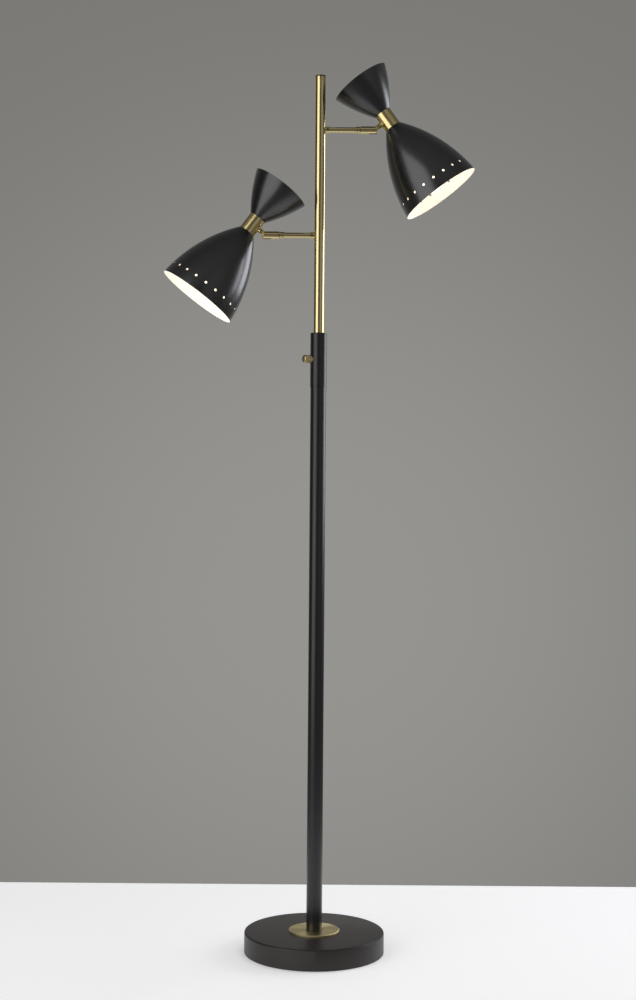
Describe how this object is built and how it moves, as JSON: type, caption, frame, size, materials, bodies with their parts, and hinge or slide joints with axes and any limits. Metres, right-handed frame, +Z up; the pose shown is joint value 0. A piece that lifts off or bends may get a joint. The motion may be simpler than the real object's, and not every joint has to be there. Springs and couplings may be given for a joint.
{
  "type": "floor lamp",
  "caption": "Free-standing floor lamp on a round weighted base, with swivelling and tilting diabolo spotlight heads on short brass arms.",
  "frame": {"origin": "centre of the base on the floor, on the pole's axis", "axes": "+Z up along the pole; +X along the right, higher arm; -Y towards the front, where the shades' mouths turn a little"},
  "size_m": [0.5637, 0.2555, 1.6167],
  "materials": {
    "felt": "matte felt",
    "cast_iron": "rough casting",
    "black_enamel": "satin black enamel",
    "shade_enamel": "satin black enamel, white inside",
    "black_plastic": "moulded black",
    "polished_brass": "polished, lightly spun",
    "zinc_steel": "zinc plated",
    "dark_steel": "blackened",
    "bulb_cap": "bright drawn",
    "bulb_glass": "frosted, lit"
  },
  "bodies": {
    "stand": {"arm_lock_nuts": "zinc_steel", "arm_set_screws": "dark_steel", "base_cover": "black_enamel", "base_lock_washer": "zinc_steel", "base_nut": "zinc_steel", "base_pad": "felt", "base_pipe": "zinc_steel", "base_trim_disc": "polished_brass", "base_washer": "zinc_steel", "base_weight": "cast_iron", "cord_outlet_bushing": "black_plastic", "housing_top_bushing": "black_enamel", "left_arm_ferrule": "polished_brass", "left_arm_rod": "polished_brass", "left_swivel_spigot": "polished_brass", "lower_tube": "black_enamel", "lower_tube_bottom_plug": "zinc_steel", "lower_tube_top_plug": "zinc_steel", "pole_joint_nipple": "zinc_steel", "pole_joint_nut": "zinc_steel", "right_arm_ferrule": "polished_brass", "right_arm_rod": "polished_brass", "right_swivel_spigot": "polished_brass", "switch_body": "black_plastic", "switch_housing": "black_enamel", "switch_housing_plug": "zinc_steel", "switch_ring_nut": "polished_brass", "top_cap": "polished_brass", "upper_tube": "polished_brass", "upper_tube_nipple": "zinc_steel", "upper_tube_nut": "zinc_steel", "upper_tube_plug": "zinc_steel"},
    "left_swivel": {"left_pivot_screw": "polished_brass", "left_stop_screw": "dark_steel", "left_swivel_sleeve": "polished_brass"},
    "left_head": {"left_bulb_base": "bulb_cap", "left_bulb_glass": "bulb_glass", "left_head_collar": "polished_brass", "left_head_nipple": "zinc_steel", "left_head_nut": "zinc_steel", "left_head_stub": "polished_brass", "left_lamp_socket": "black_plastic", "left_lower_shade": "shade_enamel", "left_upper_cone": "black_enamel"},
    "right_swivel": {"right_pivot_screw": "polished_brass", "right_stop_screw": "dark_steel", "right_swivel_sleeve": "polished_brass"},
    "right_head": {"right_bulb_base": "bulb_cap", "right_bulb_glass": "bulb_glass", "right_head_collar": "polished_brass", "right_head_nipple": "zinc_steel", "right_head_nut": "zinc_steel", "right_head_stub": "polished_brass", "right_lamp_socket": "black_plastic", "right_lower_shade": "shade_enamel", "right_upper_cone": "black_enamel"},
    "knob": {"switch_knob": "polished_brass", "switch_spindle": "zinc_steel"}
  },
  "joints": [
    {"name": "left_swivel_turn", "type": "hinge", "parent": "stand", "child": "left_swivel", "pos_m": [0, 0, 1.304], "axis": [-1, 0, 0], "range_deg": [-155, 145]},
    {"name": "left_head_tilt", "type": "hinge", "parent": "left_swivel", "child": "left_head", "pos_m": [-0.09753, 0, 1.304], "axis": [0, 0.9962, -0.0872], "range_deg": [-47.9, 18.1]},
    {"name": "right_swivel_turn", "type": "hinge", "parent": "stand", "child": "right_swivel", "pos_m": [0, 0, 1.4965], "axis": [1, 0, 0], "range_deg": [-147, 153]},
    {"name": "right_head_tilt", "type": "hinge", "parent": "right_swivel", "child": "right_head", "pos_m": [0.09753, 0, 1.4965], "axis": [0, -0.9986, 0.0523], "range_deg": [-47.3, 18.7]},
    {"name": "switch_turn", "type": "hinge", "parent": "stand", "child": "knob", "pos_m": [0, 0, 1.078], "axis": [-0.866, -0.5, 0], "continuous": true}
  ]
}
